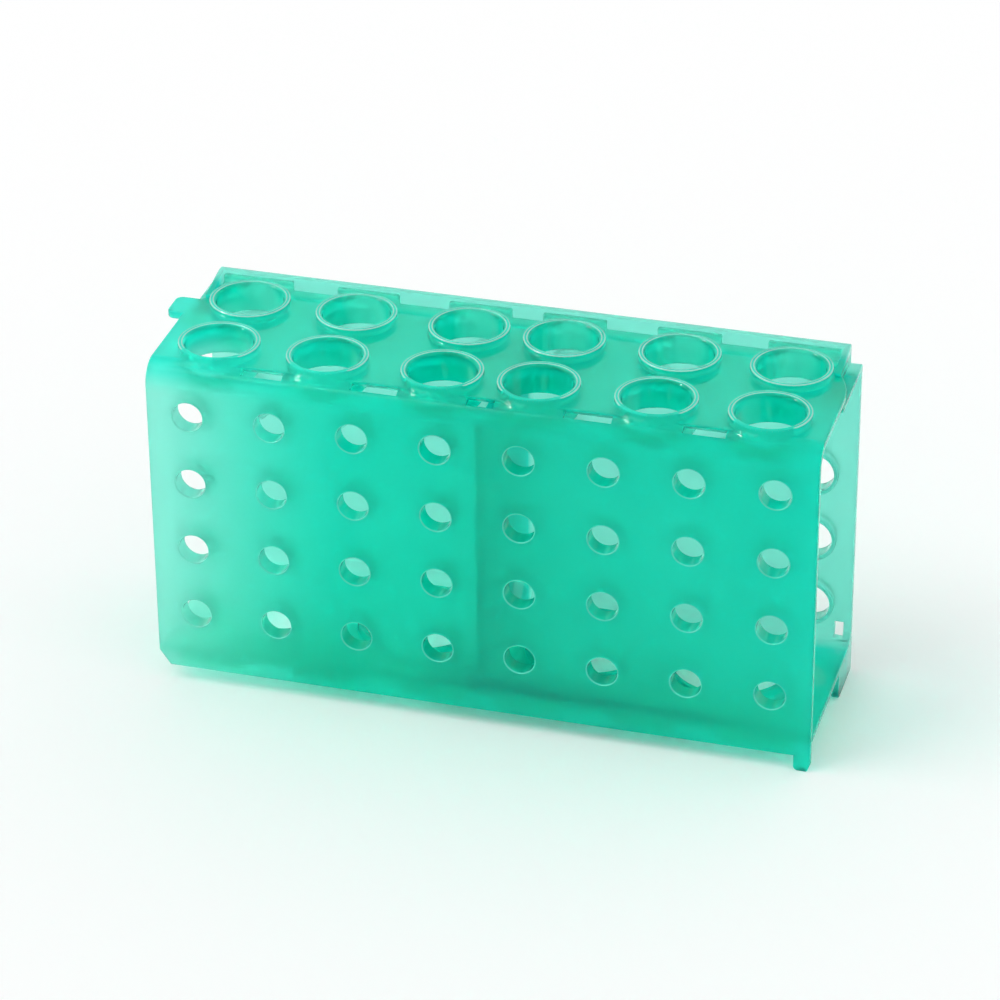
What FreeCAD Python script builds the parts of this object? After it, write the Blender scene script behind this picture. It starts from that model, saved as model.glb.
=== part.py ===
import FreeCAD, Part
import math
import os

# Four-way tube rack: two L-shaped plastic shells that clip together into an open-ended sleeve.
# Millimetres. X runs along the rack, the front panel faces -Y, and the feet stand on Z = 0.

os.makedirs("parts", exist_ok=True)

# Small holes of the front and back panels
column_count = 8
column_pitch = 21.6
row_count = 4
row_pitch = 19.2
row_margin = 13.6  # from a plate's outer face to the nearest row
small_tube_radius = 3.95  # 0.5 ml tubes, front panel
micro_tube_radius = 5.3  # 1.5 ml tubes, back panel
panel_collar_depth = 4.8  # from the panel's outer face to the collar's end
panel_collar_wall = 1.1

# Sheet and body
wall = 2.0
depth = 51.0  # front panel's outer face to back panel's outer face
corner_radius = 6.0  # outer radius where a panel folds into its plate
lip = 3.2  # the front panel hangs below the bottom plate, and the back panel stands above the top plate
seam_gap = 0.1  # clearance where one shell's plate meets the other shell

# Twelve holes of the top plate, for 15 ml tubes
inner_hole_x = 12.45
hole_step_x = 29.95  # from an inner hole to the middle one
end_margin = 15.4  # from the plate's end to the outer hole
hole_inset_y = 13.4  # from the panel's outer face to the row of holes
tube_hole_radius = 8.7
mouth_chamfer = 0.6
ring_outer_radius = 10.45
ring_height = 2.2
plate_collar_drop = 4.0  # past the plate's inner face
collar_draft = 0.35

# Four holes of the bottom plate, for 50 ml tubes
large_inner_x = 22.7
large_step_x = 37.4  # from an inner hole to the outer one beside it
large_hole_radius = 15.25
large_ring_wall = 1.75

# Web across the middle of the rack
web_thickness = 2.0
web_gap = 0.3  # clearance to the front panel and under the top plate's collars

# Clips between the shells
lug_width = 16.6
lug_height = 2.6
lug_thickness = 1.5
bridge_width = 17.5  # unslotted stretch of a folded corner beside each tube hole
slot_offset = 1.0  # from the corner's diagonal to the slot, towards the plate
slot_width = 2.4
ring_clearance = 0.15  # between the outer rings and the end walls
end_wall_thickness = 1.8
end_wall_run = 13.0  # forward along the plate
end_wall_toe = 1.3  # height left at the end wall's front
shelf_thickness = 1.6
shelf_width = 4.7
shelf_run = 22.0

# Feet and the parts that join racks end to end
foot_drop = 4.3  # feet reach below the front panel's edge
foot_thickness = 2.1
foot_run = 16.0
foot_head = 3.0  # the rear feet climb this far up the fold
foot_bevel = 1.2
front_foot_inset = 9.0
toe_width = 4.4
toe_bevel = 0.8
chamfer_x = 2.9
chamfer_z = 4.2
tab_reach = 4.5
tab_width = 9.0
tab_corner_radius = 2.0
tab_inset = 33.5  # from the front panel's outer face to the middle of the tab
cove_start = 27.0  # from the front panel's outer face
cove_run = 12.5
cove_in_share = 0.3  # where the curve's middle point lies, as shares of its reach inward
cove_back_share = 0.6  # and of its run back
notch_width = 2.3  # window in the fold beside each rear foot
notch_height = 4.4

# Sizes that follow
length = column_count * column_pitch
half_length = length / 2
half_depth = depth / 2
bottom_z = foot_drop + lip
top_z = bottom_z + 2 * row_margin + (row_count - 1) * row_pitch
rim_z = top_z + lip
outer_hole_x = half_length - end_margin
end_wall_x = outer_hole_x + ring_outer_radius + ring_clearance + end_wall_thickness  # outer side
row_y = half_depth - hole_inset_y
plate_reach = depth - wall - seam_gap
hole_xs = [inner_hole_x, inner_hole_x + hole_step_x, outer_hole_x]
column_xs = [(i - (column_count - 1) / 2) * column_pitch for i in range(column_count)]
row_zs = [top_z - row_margin - i * row_pitch for i in range(row_count)]
large_xs = [large_inner_x, large_inner_x + large_step_x]
root = wall / 2  # how far an added form runs into the sheet that carries it
overshoot = wall  # how far a cutter runs past what it cuts
ends = (-1, 1)


def point(x, y, z):
    return FreeCAD.Vector(x, y, z)


def block(x_range, y_range, z_range):
    x_low, x_high = sorted(x_range)
    y_low, y_high = sorted(y_range)
    z_low, z_high = sorted(z_range)
    return Part.makeBox(x_high - x_low, y_high - y_low, z_high - z_low, point(x_low, y_low, z_low))


def prism(corners, along):
    outline = Part.makePolygon(corners + corners[:1])
    return Part.Face(outline).extrude(along)


def folded_sheet(side, turn, corner_z, panel_reach):
    """Panel and plate as one sheet with a round fold. side is the panel's Y sign, turn the plate's Z sign."""

    def at(inward, away):
        return point(-half_length, side * (half_depth - inward), corner_z - turn * away)

    outer_mid = corner_radius * (1 - math.sqrt(0.5))
    inner_radius = corner_radius - wall
    inner_mid = wall + inner_radius * (1 - math.sqrt(0.5))
    edges = [
        Part.LineSegment(at(0, panel_reach), at(0, corner_radius)),
        Part.Arc(at(0, corner_radius), at(outer_mid, outer_mid), at(corner_radius, 0)),
        Part.LineSegment(at(corner_radius, 0), at(plate_reach, 0)),
        Part.LineSegment(at(plate_reach, 0), at(plate_reach, wall)),
        Part.LineSegment(at(plate_reach, wall), at(corner_radius, wall)),
        Part.Arc(at(corner_radius, wall), at(inner_mid, inner_mid), at(wall, corner_radius)),
        Part.LineSegment(at(wall, corner_radius), at(wall, panel_reach)),
        Part.LineSegment(at(wall, panel_reach), at(0, panel_reach)),
    ]
    profile = Part.Wire([edge.toShape() for edge in edges])
    return Part.Face(profile).extrude(point(length, 0, 0))


def panel_collars(side, bore_radius):
    """Collars inside a panel and the bores through them."""
    inward = point(0, -side, 0)
    collar_radius = bore_radius + panel_collar_wall
    collars = []
    bores = []
    for x in column_xs:
        for z in row_zs:
            face = point(x, side * half_depth, z)
            height = panel_collar_depth - root
            collars.append(Part.makeCylinder(collar_radius, height, face + inward * root, inward))
            start = face - inward * overshoot
            run = panel_collar_depth + 2 * overshoot
            bores.append(Part.makeCylinder(bore_radius, run, start, inward))
    return collars, bores


def plate_collar(centre, outward, bore_radius, outer_radius):
    """Raised ring outside a plate, collar inside it, and the bore with a chamfered mouth."""
    middle = centre - outward * root
    ring = Part.makeCylinder(outer_radius, root + ring_height, middle, outward)
    drop = wall - root + plate_collar_drop
    collar = Part.makeCone(outer_radius, outer_radius - collar_draft, drop, middle, -outward)
    bore_start = centre + outward * (ring_height + overshoot)
    bore_run = ring_height + wall + plate_collar_drop + 2 * overshoot
    bore = Part.makeCylinder(bore_radius, bore_run, bore_start, -outward)
    mouth_start = centre + outward * (ring_height - mouth_chamfer)
    flare = 2 * mouth_chamfer
    mouth = Part.makeCone(bore_radius, bore_radius + flare, flare, mouth_start, outward)
    return [ring, collar], [bore, mouth]


def tube_holes():
    solids = []
    cutters = []
    for end in ends:
        for x in hole_xs:
            for y in (-row_y, row_y):
                centre = point(end * x, y, top_z)
                added, cut = plate_collar(centre, point(0, 0, 1), tube_hole_radius, ring_outer_radius)
                solids += added
                cutters += cut
    return solids, cutters


def large_holes():
    solids = []
    cutters = []
    outer_radius = large_hole_radius + large_ring_wall
    for end in ends:
        for x in large_xs:
            centre = point(end * x, 0, bottom_z)
            added, cut = plate_collar(centre, point(0, 0, -1), large_hole_radius, outer_radius)
            solids += added
            cutters += cut
    return solids, cutters


def corner_slots():
    """Windows through the front shell's folded corner, cut along its diagonal between the tube holes."""
    centres = sorted([-x for x in hole_xs] + hole_xs)
    fold_centre = point(0, corner_radius - half_depth, top_z - corner_radius)
    outward = point(0, -1, 1).normalize()
    towards_plate = point(0, 1, 1).normalize()
    start = corner_radius - wall - overshoot
    run = outward * (wall + 2 * overshoot)
    slots = []
    for left, right in zip(centres, centres[1:]):
        low = left + bridge_width / 2
        high = right - bridge_width / 2
        near = fold_centre + outward * start + towards_plate * slot_offset + point(low, 0, 0)
        far = near + towards_plate * slot_width
        slots.append(prism([near, far, far + run, near + run], point(high - low, 0, 0)))
    return slots


def lugs(side, turn, corner_z):
    """Tongues on a plate's free edge that stand against the other shell's lip."""
    edge_y = -side * (half_depth - wall - seam_gap)
    outer_end = end_wall_x - end_wall_thickness - seam_gap
    tongues = []
    for end in ends:
        for x in hole_xs:
            far = outer_end if x == outer_hole_x else x + lug_width / 2
            x_range = (end * (x - lug_width / 2), end * far)
            z_range = (corner_z - turn * wall, corner_z + turn * lug_height)
            tongues.append(block(x_range, (edge_y, edge_y + side * lug_thickness), z_range))
    return tongues


def end_cove(end):
    """Cut in the top plate's end, over the shelf: a long shallow curve, then straight back."""
    near_y = -half_depth + cove_start
    deep_y = near_y + cove_run
    edge_x = end * half_length
    deep_x = end * end_wall_x
    out_x = end * (half_length + overshoot)
    bulge = point(edge_x + cove_in_share * (deep_x - edge_x), near_y + cove_back_share * cove_run, top_z)
    edges = [
        Part.Arc(point(edge_x, near_y, top_z), bulge, point(deep_x, deep_y, top_z)),
        Part.LineSegment(point(deep_x, deep_y, top_z), point(deep_x, half_depth, top_z)),
        Part.LineSegment(point(deep_x, half_depth, top_z), point(out_x, half_depth, top_z)),
        Part.LineSegment(point(out_x, half_depth, top_z), point(out_x, near_y, top_z)),
        Part.LineSegment(point(out_x, near_y, top_z), point(edge_x, near_y, top_z)),
    ]
    outline = Part.Face(Part.Wire([edge.toShape() for edge in edges]))
    outline.translate(point(0, 0, -wall - overshoot))
    return outline.extrude(point(0, 0, wall + 2 * overshoot))


def end_wall(end):
    """Wall that runs forward from the back lip along the top plate's end, sloping down to it."""
    x = end * end_wall_x
    lip_y = half_depth - wall
    front_y = half_depth - end_wall_run
    seat_z = top_z + seam_gap
    corners = [
        point(x, half_depth - root, seat_z),
        point(x, half_depth - root, rim_z),
        point(x, lip_y, rim_z),
        point(x, front_y, top_z + end_wall_toe),
        point(x, front_y, seat_z),
    ]
    return prism(corners, point(-end * end_wall_thickness, 0, 0))


def end_shelf(end):
    """Shelf on the back panel that the top plate's end rests on."""
    x_range = (end * (half_length - shelf_width), end * half_length)
    z_high = top_z - wall - seam_gap
    y_range = (half_depth - root, half_depth - wall - shelf_run)
    return block(x_range, y_range, (z_high - shelf_thickness, z_high))


def centre_web():
    """Wall across the middle, rooted in the back panel and the bottom plate, clear of the other shell."""
    x_range = (-web_thickness / 2, web_thickness / 2)
    y_range = (wall + web_gap - half_depth, half_depth - root)
    z_range = (bottom_z + root, top_z - wall - plate_collar_drop - web_gap)
    web = block(x_range, y_range, z_range)

    def in_fold(edge):
        return all(v.Y > half_depth - wall and v.Z < bottom_z + wall for v in edge.Vertexes)

    return web.makeFillet(corner_radius - root, [edge for edge in web.Edges if in_fold(edge)])


def foot_fin(end, corners):
    """Fin at one end of the bottom plate, from its outline as pairs of Y and Z."""
    x = end * half_length
    return prism([point(x, y, z) for y, z in corners], point(-end * foot_thickness, 0, 0))


def rear_foot(end):
    """Foot under the rear fold. Its back edge is flush with the back panel."""
    back_y = half_depth
    front_y = half_depth - foot_run
    root_z = bottom_z + root
    head_z = bottom_z + foot_head
    corners = [
        (back_y, head_z),
        (back_y, foot_bevel / 2),
        (back_y - foot_bevel / 2, 0),
        (front_y + foot_bevel, 0),
        (front_y, foot_bevel),
        (front_y, root_z),
        (back_y - corner_radius, root_z),
        (back_y - wall, head_z),
    ]
    return foot_fin(end, corners)


def front_foot():
    """Foot set back under the left end, behind the front panel."""
    front_y = -half_depth + front_foot_inset
    back_y = front_y + foot_run
    root_z = bottom_z + root
    corners = [
        (back_y, root_z),
        (back_y, foot_bevel),
        (back_y - foot_bevel, 0),
        (front_y + foot_bevel, 0),
        (front_y, foot_bevel),
        (front_y, root_z),
    ]
    return foot_fin(-1, corners)


def toe():
    """Foot at the lower right corner of the front panel."""
    y = -half_depth
    right = half_length
    left = half_length - toe_width
    corners = [
        point(right, y, bottom_z + wall),
        point(right, y, foot_drop / 2),
        point(right - toe_bevel, y, 0),
        point(left + toe_bevel, y, 0),
        point(left, y, toe_bevel),
        point(left, y, bottom_z + wall),
    ]
    return prism(corners, point(0, wall, 0))


def corner_chamfer():
    """Bevel at the lower left corner of the front panel."""
    y = -half_depth - overshoot
    x = -half_length
    z = foot_drop
    corners = [point(x, y, z), point(x + chamfer_x, y, z), point(x, y, z + chamfer_z)]
    return prism(corners, point(0, wall + 2 * overshoot, 0))


def end_tab():
    """Tab with rounded corners on the top plate's left end, where the next rack joins."""
    root_x = -half_length + wall
    tip_x = -half_length - tab_reach
    middle_y = -half_depth + tab_inset
    y_range = (middle_y - tab_width / 2, middle_y + tab_width / 2)
    tab = block((tip_x, root_x), y_range, (top_z - wall, top_z))
    at_tip = [edge for edge in tab.Edges if all(v.X < tip_x + tab_reach / 2 for v in edge.Vertexes)]
    upright = [edge for edge in at_tip if abs(edge.Vertexes[0].Z - edge.Vertexes[1].Z) > wall / 2]
    return tab.makeFillet(tab_corner_radius, upright)


def fold_notches():
    """Windows in the rear fold, just inside the feet."""
    notches = []
    for end in ends:
        outer = half_length - foot_thickness
        x_range = (end * outer, end * (outer - notch_width))
        y_range = (half_depth + overshoot, half_depth - corner_radius)
        low_z = bottom_z + foot_head
        notches.append(block(x_range, y_range, (low_z, low_z + notch_height)))
    return notches


def front_top_shell():
    sheet = folded_sheet(-1, 1, top_z, top_z - foot_drop)
    sheet = sheet.cut([end_cove(end) for end in ends] + [corner_chamfer()])
    collars, bores = panel_collars(-1, small_tube_radius)
    rings, ring_bores = tube_holes()
    added = collars + rings + lugs(-1, 1, top_z) + [toe(), end_tab()]
    shell = sheet.fuse(added)
    return shell.cut(bores + ring_bores + corner_slots())


def back_bottom_shell():
    sheet = folded_sheet(1, -1, bottom_z, rim_z - bottom_z)
    head_z = top_z - wall - seam_gap
    for end in ends:
        x_range = (end * end_wall_x, end * (half_length + overshoot))
        above = block(x_range, (half_depth + overshoot, half_depth - 2 * wall), (head_z, rim_z + overshoot))
        sheet = sheet.cut(above)
    collars, bores = panel_collars(1, micro_tube_radius)
    rings, ring_bores = large_holes()
    added = collars + rings + lugs(1, -1, bottom_z)
    added += [front_foot(), centre_web()]
    for end in ends:
        added += [end_wall(end), end_shelf(end), rear_foot(end)]
    shell = sheet.fuse(added)
    return shell.cut(bores + ring_bores + fold_notches())


def save(shape, node):
    shape.translate(point(tab_reach / 2, 0, 0))
    solid = shape.Solids[0]
    print(node, "solids", len(shape.Solids), "valid", shape.isValid(), "volume", round(shape.Volume))
    solid.exportStep(f"parts/{node}.step")


save(front_top_shell(), "front_top_shell")
save(back_bottom_shell(), "back_bottom_shell")
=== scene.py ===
import math

import bmesh
import bpy
from mathutils import Matrix, Vector


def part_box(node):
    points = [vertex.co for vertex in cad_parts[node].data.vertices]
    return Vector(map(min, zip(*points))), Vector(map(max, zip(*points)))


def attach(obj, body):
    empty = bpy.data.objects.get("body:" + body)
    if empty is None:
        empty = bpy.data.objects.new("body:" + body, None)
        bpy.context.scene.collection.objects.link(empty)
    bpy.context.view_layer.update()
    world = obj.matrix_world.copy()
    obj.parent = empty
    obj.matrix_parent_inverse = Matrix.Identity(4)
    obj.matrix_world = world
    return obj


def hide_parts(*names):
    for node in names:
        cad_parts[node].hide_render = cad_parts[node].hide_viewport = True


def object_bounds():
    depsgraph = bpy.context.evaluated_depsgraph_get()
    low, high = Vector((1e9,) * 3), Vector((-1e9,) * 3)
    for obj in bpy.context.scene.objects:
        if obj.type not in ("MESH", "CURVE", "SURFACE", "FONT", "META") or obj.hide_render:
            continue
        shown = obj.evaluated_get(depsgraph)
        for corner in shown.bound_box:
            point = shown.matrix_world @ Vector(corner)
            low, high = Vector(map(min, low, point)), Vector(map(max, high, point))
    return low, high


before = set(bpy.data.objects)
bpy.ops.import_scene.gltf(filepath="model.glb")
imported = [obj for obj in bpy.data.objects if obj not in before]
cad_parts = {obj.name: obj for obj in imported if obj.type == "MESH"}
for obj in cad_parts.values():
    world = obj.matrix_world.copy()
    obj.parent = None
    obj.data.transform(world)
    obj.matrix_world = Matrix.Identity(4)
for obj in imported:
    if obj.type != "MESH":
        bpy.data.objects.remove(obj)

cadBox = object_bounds()
mm = 0.001

# milky teal-green polypropylene, with painted light making it paler in the back panel and towards the
# rack's left end
plastic = {
    "deep": (0.0, 0.83, 0.69),
    "milky": (0.02, 0.87, 0.74),
    # painted light: the colour the plastic takes where light shines through the back panel and into the
    # left end
    "pale": (0.42, 0.9, 0.8),
    "endLightFrom": -30.0 * mm,
    "endLightTo": -95.0 * mm,
    "backLightFrom": 18.0 * mm,
    "backLightTo": 23.0 * mm,
    "backPaintedLight": 0.75,
    "endLightTopFrom": 93.0 * mm,
    "endLightTopTo": 84.0 * mm,
    "swirlSize": 16.0,
    "swirlDetail": 2.0,
    "swirlLow": 0.3,
    "swirlHigh": 0.7,
    "roughness": 0.82,
    "glossSpread": 0.05,
    "transmission": 0.95,
    "ior": 1.49,
    "tint": (0.0, 0.75, 0.6),
    "coat": 1.0,
    "coatIor": 1.22,
    "coatRoughness": 0.05,
    "ripple": 0.03,
    "rippleHeight": 0.3 * mm,
}


def addSocket(group, name, kind, direction):
    return group.interface.new_socket(name=name, in_out=direction, socket_type=kind).identifier


def fade(group, value, start, end):
    # 0 at start, 1 at end, soft between
    ramp = group.nodes.new("ShaderNodeMapRange")
    ramp.interpolation_type = "SMOOTHSTEP"
    ramp.inputs["From Min"].default_value = start
    ramp.inputs["From Max"].default_value = end
    group.links.new(value, ramp.inputs["Value"])
    return ramp.outputs["Result"]


def calculate(group, operation, first, second):
    step = group.nodes.new("ShaderNodeMath")
    step.operation = operation
    group.links.new(first, step.inputs[0])
    group.links.new(second, step.inputs[1])
    return step.outputs["Value"]


def milkyFlowAndPaintedLightGroup():
    # the cloudy flow marks of a moulding, as a colour, a roughness and a height, with painted light in the
    # colour: paler in the back panel and towards the left end
    group = bpy.data.node_groups.new("milkyFlowAndPaintedLight", "ShaderNodeTree")
    addSocket(group, "Deep colour", "NodeSocketColor", "INPUT")
    addSocket(group, "Milky colour", "NodeSocketColor", "INPUT")
    addSocket(group, "Painted light colour", "NodeSocketColor", "INPUT")
    addSocket(group, "Back painted light", "NodeSocketFloat", "INPUT")
    addSocket(group, "Swirl size", "NodeSocketFloat", "INPUT")
    addSocket(group, "Roughness", "NodeSocketFloat", "INPUT")
    addSocket(group, "Gloss spread", "NodeSocketFloat", "INPUT")
    addSocket(group, "Colour", "NodeSocketColor", "OUTPUT")
    addSocket(group, "Roughness", "NodeSocketFloat", "OUTPUT")
    addSocket(group, "Height", "NodeSocketFloat", "OUTPUT")
    nodes, links = group.nodes, group.links
    into = nodes.new("NodeGroupInput")
    out = nodes.new("NodeGroupOutput")
    place = nodes.new("ShaderNodeTexCoord")
    cloud = nodes.new("ShaderNodeTexNoise")
    cloud.inputs["Detail"].default_value = plastic["swirlDetail"]
    links.new(place.outputs["Object"], cloud.inputs["Vector"])
    links.new(into.outputs["Swirl size"], cloud.inputs["Scale"])
    swirl = fade(group, cloud.outputs["Fac"], plastic["swirlLow"], plastic["swirlHigh"])
    mix = nodes.new("ShaderNodeMix")
    mix.data_type = "RGBA"
    links.new(swirl, mix.inputs["Factor"])
    links.new(into.outputs["Deep colour"], mix.inputs["A"])
    links.new(into.outputs["Milky colour"], mix.inputs["B"])
    along = nodes.new("ShaderNodeSeparateXYZ")
    links.new(place.outputs["Object"], along.inputs["Vector"])
    # painted light, as if the back panel and the rack's left end below the top plate were lit through
    leftEndLight = fade(group, along.outputs["X"], plastic["endLightFrom"], plastic["endLightTo"])
    backPanelLight = fade(group, along.outputs["Y"], plastic["backLightFrom"], plastic["backLightTo"])
    endLightUnderTop = fade(group, along.outputs["Z"], plastic["endLightTopFrom"], plastic["endLightTopTo"])
    endLightShare = calculate(group, "MULTIPLY", leftEndLight, endLightUnderTop)
    backLightShare = calculate(group, "MULTIPLY", backPanelLight, into.outputs["Back painted light"])
    # how much painted light each place gets, and the colour mixed towards the pale painted light
    paleness = calculate(group, "MAXIMUM", endLightShare, backLightShare)
    paler = nodes.new("ShaderNodeMix")
    paler.data_type = "RGBA"
    links.new(paleness, paler.inputs["Factor"])
    links.new(mix.outputs["Result"], paler.inputs["A"])
    links.new(into.outputs["Painted light colour"], paler.inputs["B"])
    gloss = nodes.new("ShaderNodeMath")
    gloss.operation = "MULTIPLY_ADD"
    links.new(swirl, gloss.inputs[0])
    links.new(into.outputs["Gloss spread"], gloss.inputs[1])
    links.new(into.outputs["Roughness"], gloss.inputs[2])
    links.new(paler.outputs["Result"], out.inputs["Colour"])
    links.new(gloss.outputs["Value"], out.inputs["Roughness"])
    links.new(cloud.outputs["Fac"], out.inputs["Height"])
    return group


# the same plastic in the thin beads round the small holes, which catch the light with a glossier coat, and
# are paler as a painted highlight
beadGlossAndPaintedHighlight = {
    **plastic,
    "deep": (0.1, 0.88, 0.76),
    "milky": (0.14, 0.9, 0.8),
    "transmission": 0.5,
    "coatIor": 1.5,
}

# and in the beads on the rings of the top plate, paler still, a painted highlight along the rings' top
# edges
ringPaintedHighlight = {
    **beadGlossAndPaintedHighlight,
    "deep": (0.42, 0.95, 0.87),
    "milky": (0.48, 0.96, 0.9),
    "transmission": 0.35,
    "coatIor": 1.7,
}


def polypropylene(name, flow, finish):
    material = bpy.data.materials.new(name)
    material.use_nodes = True
    nodes, links = material.node_tree.nodes, material.node_tree.links
    shader = nodes["Principled BSDF"]
    shader.inputs["IOR"].default_value = finish["ior"]
    shader.inputs["Transmission Weight"].default_value = finish["transmission"]
    shader.inputs["Specular Tint"].default_value = (*finish["tint"], 1.0)
    shader.inputs["Coat Weight"].default_value = finish["coat"]
    shader.inputs["Coat IOR"].default_value = finish["coatIor"]
    shader.inputs["Coat Roughness"].default_value = finish["coatRoughness"]
    milk = nodes.new("ShaderNodeGroup")
    milk.node_tree = flow
    milk.inputs["Deep colour"].default_value = (*finish["deep"], 1.0)
    milk.inputs["Milky colour"].default_value = (*finish["milky"], 1.0)
    # the pale colour and the back share are painted light
    milk.inputs["Painted light colour"].default_value = (*finish["pale"], 1.0)
    milk.inputs["Back painted light"].default_value = finish["backPaintedLight"]
    milk.inputs["Swirl size"].default_value = finish["swirlSize"]
    milk.inputs["Roughness"].default_value = finish["roughness"]
    milk.inputs["Gloss spread"].default_value = finish["glossSpread"]
    bump = nodes.new("ShaderNodeBump")
    bump.inputs["Strength"].default_value = finish["ripple"]
    bump.inputs["Distance"].default_value = finish["rippleHeight"]
    links.new(milk.outputs["Colour"], shader.inputs["Base Color"])
    links.new(milk.outputs["Roughness"], shader.inputs["Roughness"])
    links.new(milk.outputs["Height"], bump.inputs["Height"])
    links.new(bump.outputs["Normal"], shader.inputs["Normal"])
    return material


milkyFlowAndPaintedLight = milkyFlowAndPaintedLightGroup()
greenPlastic = polypropylene("green polypropylene", milkyFlowAndPaintedLight, plastic)
# the hole beads' paler colour is a painted highlight, their coat real gloss
beadPaintedHighlightMaterial = polypropylene("bead polypropylene painted highlight", milkyFlowAndPaintedLight, beadGlossAndPaintedHighlight)
# the ring beads' pale colour is a painted highlight on the rings' top edges
ringPaintedHighlightMaterial = polypropylene("ring polypropylene painted highlight", milkyFlowAndPaintedLight, ringPaintedHighlight)
print("materials ready")

# edge radii of the two shells, with the height of each one's plate at its fold
shell = {
    "topPlateHeight": 92.3 * mm,
    "bottomPlateHeight": 7.5 * mm,
    "weld": 0.002 * mm,
    "flatAngle": math.radians(0.6),
    "edgeAngle": math.radians(34),
    "edgeRadius": 0.4 * mm,
    "segments": 3,
    "foldDepth": 7.0 * mm,
}


def plainMesh(piece):
    # what the modifiers make of a piece, kept as its own mesh
    bpy.context.view_layer.update()
    finished = bpy.data.meshes.new_from_object(piece.evaluated_get(bpy.context.evaluated_depsgraph_get()))
    piece.modifiers.clear()
    piece.data = finished
    return finished


def rounded(edge, low, high, panelY, plateHeight):
    # outer corners are rounded, but none that lie near the fold, where the slots are
    if len(edge.link_faces) != 2 or edge.calc_face_angle_signed() < shell["edgeAngle"]:
        return False
    ends = [vertex.co for vertex in edge.verts]
    fold = shell["foldDepth"]
    inFold = all(abs(end.y - panelY) < fold and abs(end.z - plateHeight) < fold for end in ends)
    clearOfEnds = all(low.x + fold < end.x < high.x - fold for end in ends)
    return not (inFold and clearOfEnds)


def mouldedShell(nodeName, pieceName, panelY, plateHeight):
    # a copy of the solid with the small edge radii that a moulding has
    low, high = (Vector(corner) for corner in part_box(nodeName))
    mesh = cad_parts[nodeName].data.copy()
    mesh.name = pieceName
    mesh.materials.clear()
    build = bmesh.new()
    build.from_mesh(mesh)
    bmesh.ops.remove_doubles(build, verts=build.verts, dist=shell["weld"])
    bmesh.ops.dissolve_limit(build, angle_limit=shell["flatAngle"], verts=build.verts, edges=build.edges)
    share = build.edges.layers.float.new("bevel_weight_edge")
    for edge in build.edges:
        edge[share] = float(rounded(edge, low, high, panelY, plateHeight))
    for face in build.faces:
        face.smooth = True
    build.to_mesh(mesh)
    build.free()
    mesh.materials.append(greenPlastic)
    piece = bpy.data.objects.new(pieceName, mesh)
    bpy.context.scene.collection.objects.link(piece)
    radii = piece.modifiers.new("edge radii", "BEVEL")
    radii.width = shell["edgeRadius"]
    radii.segments = shell["segments"]
    radii.limit_method = "WEIGHT"
    radii.use_clamp_overlap = False
    piece.modifiers.new("flat faces stay flat", "WEIGHTED_NORMAL")
    finished = plainMesh(piece)
    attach(piece, "root")
    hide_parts(nodeName)
    print(pieceName, "faces", len(finished.polygons))


outerLow, outerHigh = cadBox
mouldedShell("front_top_shell", "front_top_moulding", outerLow[1], shell["topPlateHeight"])
mouldedShell("back_bottom_shell", "back_bottom_moulding", outerHigh[1], shell["bottomPlateHeight"])

# thin round beads at the mouths of the holes and along the rings' top edges
beads = {
    "middleX": 2.25 * mm,
    "columns": 8,
    "columnPitch": 21.6 * mm,
    "rows": 4,
    "rowPitch": 19.2 * mm,
    "lowestRow": 21.1 * mm,
    "ringColumns": (-71.0 * mm, -42.4 * mm, -12.45 * mm, 12.45 * mm, 42.4 * mm, 71.0 * mm),
    "ringRows": (-12.1 * mm, 12.1 * mm),
    "ringTop": 94.5 * mm,
    "beadRadius": 0.24 * mm,
    "frontRadius": 4.2 * mm,
    "backRadius": 5.55 * mm,
    "ringOuter": 10.2 * mm,
    "ringInner": 9.5 * mm,
    "roundSegments": 48,
    "beadSegments": 10,
}


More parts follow.
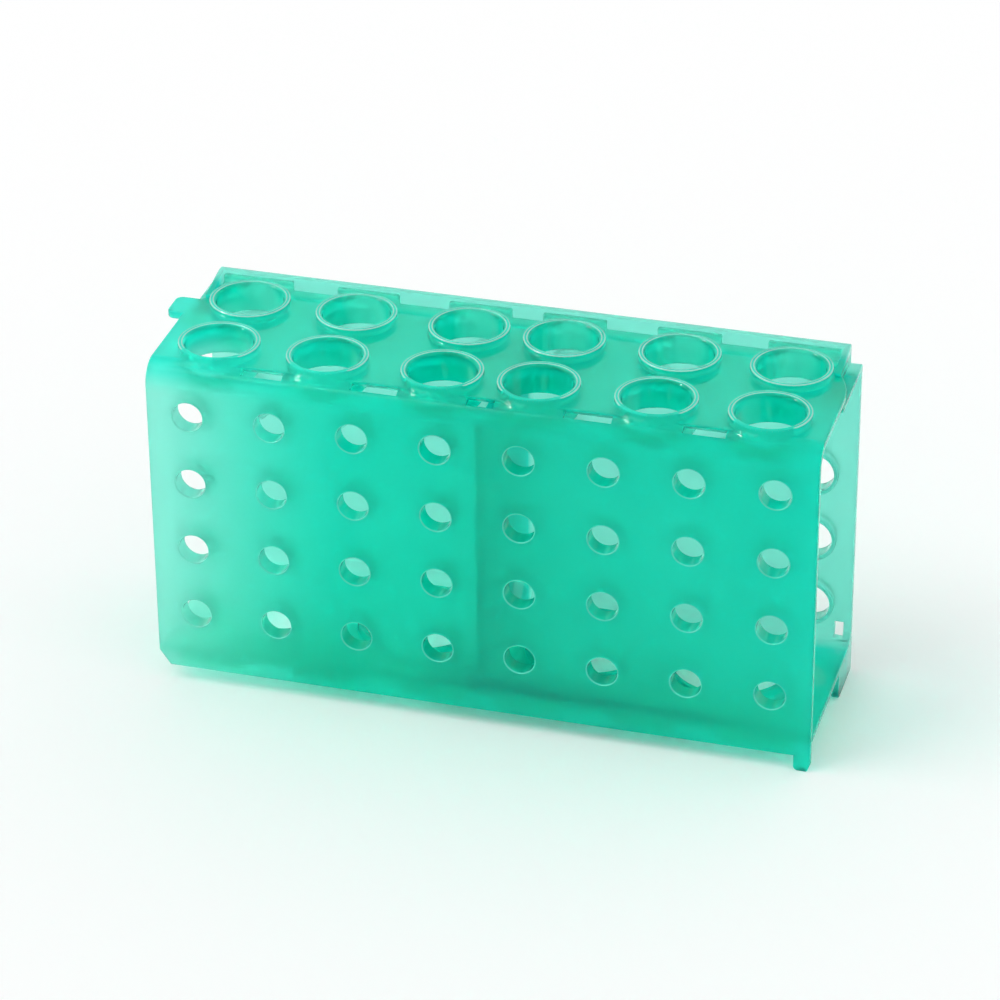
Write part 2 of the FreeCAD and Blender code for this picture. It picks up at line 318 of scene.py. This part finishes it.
def beadTree():
    # a circle swept by a smaller one, turned to face a direction, at every point of the piece's own mesh
    tree = bpy.data.node_groups.new("holeBeads", "GeometryNodeTree")
    addSocket(tree, "Geometry", "NodeSocketGeometry", "INPUT")
    inputs = {
        "Hole radius": addSocket(tree, "Hole radius", "NodeSocketFloat", "INPUT"),
        "Bead radius": addSocket(tree, "Bead radius", "NodeSocketFloat", "INPUT"),
        "Facing": addSocket(tree, "Facing", "NodeSocketVector", "INPUT"),
        "Plastic": addSocket(tree, "Plastic", "NodeSocketMaterial", "INPUT"),
    }
    addSocket(tree, "Geometry", "NodeSocketGeometry", "OUTPUT")
    nodes, links = tree.nodes, tree.links
    into = nodes.new("NodeGroupInput")
    out = nodes.new("NodeGroupOutput")
    ring = nodes.new("GeometryNodeCurvePrimitiveCircle")
    ring.inputs["Resolution"].default_value = beads["roundSegments"]
    links.new(into.outputs["Hole radius"], ring.inputs["Radius"])
    section = nodes.new("GeometryNodeCurvePrimitiveCircle")
    section.inputs["Resolution"].default_value = beads["beadSegments"]
    links.new(into.outputs["Bead radius"], section.inputs["Radius"])
    sweep = nodes.new("GeometryNodeCurveToMesh")
    links.new(ring.outputs["Curve"], sweep.inputs["Curve"])
    links.new(section.outputs["Curve"], sweep.inputs["Profile Curve"])
    turn = nodes.new("FunctionNodeAlignRotationToVector")
    turn.axis = "Z"
    links.new(into.outputs["Facing"], turn.inputs["Vector"])
    copies = nodes.new("GeometryNodeInstanceOnPoints")
    links.new(into.outputs["Geometry"], copies.inputs["Points"])
    links.new(sweep.outputs["Mesh"], copies.inputs["Instance"])
    links.new(turn.outputs["Rotation"], copies.inputs["Rotation"])
    real = nodes.new("GeometryNodeRealizeInstances")
    links.new(copies.outputs["Instances"], real.inputs["Geometry"])
    smooth = nodes.new("GeometryNodeSetShadeSmooth")
    links.new(real.outputs["Geometry"], smooth.inputs["Geometry"])
    paint = nodes.new("GeometryNodeSetMaterial")
    links.new(smooth.outputs["Geometry"], paint.inputs["Geometry"])
    links.new(into.outputs["Plastic"], paint.inputs["Material"])
    links.new(paint.outputs["Geometry"], out.inputs["Geometry"])
    return tree, inputs


beadRing, beadInputs = beadTree()


def beadsAt(pieceName, places, holeRadius, facing, material):
    mesh = bpy.data.meshes.new(pieceName)
    mesh.from_pydata(places, [], [])
    piece = bpy.data.objects.new(pieceName, mesh)
    bpy.context.scene.collection.objects.link(piece)
    grow = piece.modifiers.new("hole beads", "NODES")
    grow.node_group = beadRing
    grow[beadInputs["Hole radius"]] = holeRadius
    grow[beadInputs["Bead radius"]] = beads["beadRadius"]
    grow[beadInputs["Facing"]] = facing
    grow[beadInputs["Plastic"]] = material
    finished = plainMesh(piece)
    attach(piece, "root")
    print(pieceName, "faces", len(finished.polygons))


def panelHoles(y):
    # the middles of a panel's holes, column by column
    firstX = beads["middleX"] - (beads["columns"] - 1) / 2 * beads["columnPitch"]
    alongX = [firstX + column * beads["columnPitch"] for column in range(beads["columns"])]
    upZ = [beads["lowestRow"] + row * beads["rowPitch"] for row in range(beads["rows"])]
    return [(x, y, z) for x in alongX for z in upZ]


def ringTops():
    # the middles of the top plate's rings, at the height of their beads
    z = beads["ringTop"] - beads["beadRadius"]
    return [(beads["middleX"] + x, y, z) for x in beads["ringColumns"] for y in beads["ringRows"]]


frontHoles = panelHoles(outerLow[1] + beads["beadRadius"])
backHoles = panelHoles(outerHigh[1] - beads["beadRadius"])
beadsAt("front_hole_beads", frontHoles, beads["frontRadius"], (0.0, -1.0, 0.0), beadPaintedHighlightMaterial)
beadsAt("back_hole_beads", backHoles, beads["backRadius"], (0.0, 1.0, 0.0), beadPaintedHighlightMaterial)
beadsAt("ring_outer_beads", ringTops(), beads["ringOuter"], (0.0, 0.0, 1.0), ringPaintedHighlightMaterial)
beadsAt("ring_inner_beads", ringTops(), beads["ringInner"], (0.0, 0.0, 1.0), ringPaintedHighlightMaterial)

# white floor and soft light
studio = {
    "floorColour": (0.97, 0.97, 0.97),
    "floorSize": 12.0,
    "floorRoughness": 0.9,
    "floorGloss": 0.0,
    "white": (1.0, 1.0, 1.0, 1.0),
    "skyStrength": 0.85,
    "sunStrength": 0.7,
    "sunAngle": math.radians(35),
    "sunFrom": (-0.5, -0.3, 0.8),
    "softboxFrom": (-0.81, -0.33, 0.49),
    "softboxDistance": 1.0,
    "softboxSize": 0.25,
    "softboxWatts": 8.0,
}


def seenDirectly(nodes, links):
    # 1 for camera, glossy and transmission rays, 0 for the rays that light the rack
    path = nodes.new("ShaderNodeLightPath")
    total = path.outputs["Is Camera Ray"]
    for name in ("Is Glossy Ray", "Is Transmission Ray"):
        join = nodes.new("ShaderNodeMath")
        join.operation = "MAXIMUM"
        links.new(total, join.inputs[0])
        links.new(path.outputs[name], join.inputs[1])
        total = join.outputs["Value"]
    return total


def paleFloor():
    bpy.ops.mesh.primitive_plane_add(size=studio["floorSize"])
    floor = bpy.context.object
    floor.name = "floor"
    material = bpy.data.materials.new("pale floor")
    material.use_nodes = True
    shader = material.node_tree.nodes["Principled BSDF"]
    shader.inputs["Base Color"].default_value = (*studio["floorColour"], 1.0)
    shader.inputs["Roughness"].default_value = studio["floorRoughness"]
    shader.inputs["Specular IOR Level"].default_value = studio["floorGloss"]
    floor.data.materials.append(material)


def paleSky():
    world = bpy.data.worlds.new("studio")
    bpy.context.scene.world = world
    world.use_nodes = True
    nodes, links = world.node_tree.nodes, world.node_tree.links
    sky = nodes["Background"]
    sky.inputs["Color"].default_value = studio["white"]
    sky.inputs["Strength"].default_value = studio["skyStrength"]
    white = nodes.new("ShaderNodeBackground")
    white.inputs["Color"].default_value = studio["white"]
    choose = nodes.new("ShaderNodeMixShader")
    links.new(seenDirectly(nodes, links), choose.inputs["Fac"])
    links.new(sky.outputs["Background"], choose.inputs[1])
    links.new(white.outputs["Background"], choose.inputs[2])
    links.new(choose.outputs["Shader"], nodes["World Output"].inputs["Surface"])


def softSun():
    light = bpy.data.lights.new("soft sun", "SUN")
    light.energy = studio["sunStrength"]
    light.angle = studio["sunAngle"]
    lamp = bpy.data.objects.new("soft sun", light)
    lamp.rotation_euler = Vector(studio["sunFrom"]).to_track_quat("Z", "Y").to_euler()
    bpy.context.scene.collection.objects.link(lamp)


def softbox():
    # diffuse and transmission rays miss it, so it gives only the highlights on rims and edges
    light = bpy.data.lights.new("softbox", "AREA")
    light.size = studio["softboxSize"]
    light.energy = studio["softboxWatts"]
    lamp = bpy.data.objects.new("softbox", light)
    aim = Vector(studio["softboxFrom"])
    lamp.location = aim * studio["softboxDistance"]
    lamp.rotation_euler = aim.to_track_quat("Z", "Y").to_euler()
    lamp.visible_diffuse = False
    lamp.visible_transmission = False
    bpy.context.scene.collection.objects.link(lamp)


paleFloor()
paleSky()
softSun()
softbox()
print("floor and lights ready")

# camera fitted to the rack's holes and edges, in millimetres and degrees, with the focal length in pixels
view = {
    "focal": 4269.07,
    "azimuth": 16.003,
    "elevation": 29.847,
    "roll": -0.446,
    "offset": (-0.595, -44.814, -1115.227),
    "imageSide": 1000.0,
    "sensor": 36.0,
}


def photoCamera():
    azimuth = math.radians(view["azimuth"])
    elevation = math.radians(view["elevation"])
    right = Vector((math.cos(azimuth), math.sin(azimuth), 0.0))
    back = Vector((right.y, -right.x, 0.0)) * math.cos(elevation) + Vector((0.0, 0.0, math.sin(elevation)))
    level = Matrix((right, back.cross(right), back))
    turn = Matrix.Rotation(math.radians(-view["roll"]), 3, "Z") @ level
    place = -(turn.transposed() @ Vector(view["offset"])) * mm
    lens = bpy.data.cameras.new("photo view")
    lens.sensor_width = view["sensor"]
    lens.lens = view["focal"] * view["sensor"] / view["imageSide"]
    camera = bpy.data.objects.new("photo view", lens)
    camera.matrix_world = Matrix.Translation(place) @ turn.transposed().to_4x4()
    bpy.context.scene.collection.objects.link(camera)
    bpy.context.scene.camera = camera


photoCamera()
bpy.context.scene.view_settings.view_transform = "Standard"
print("camera ready")
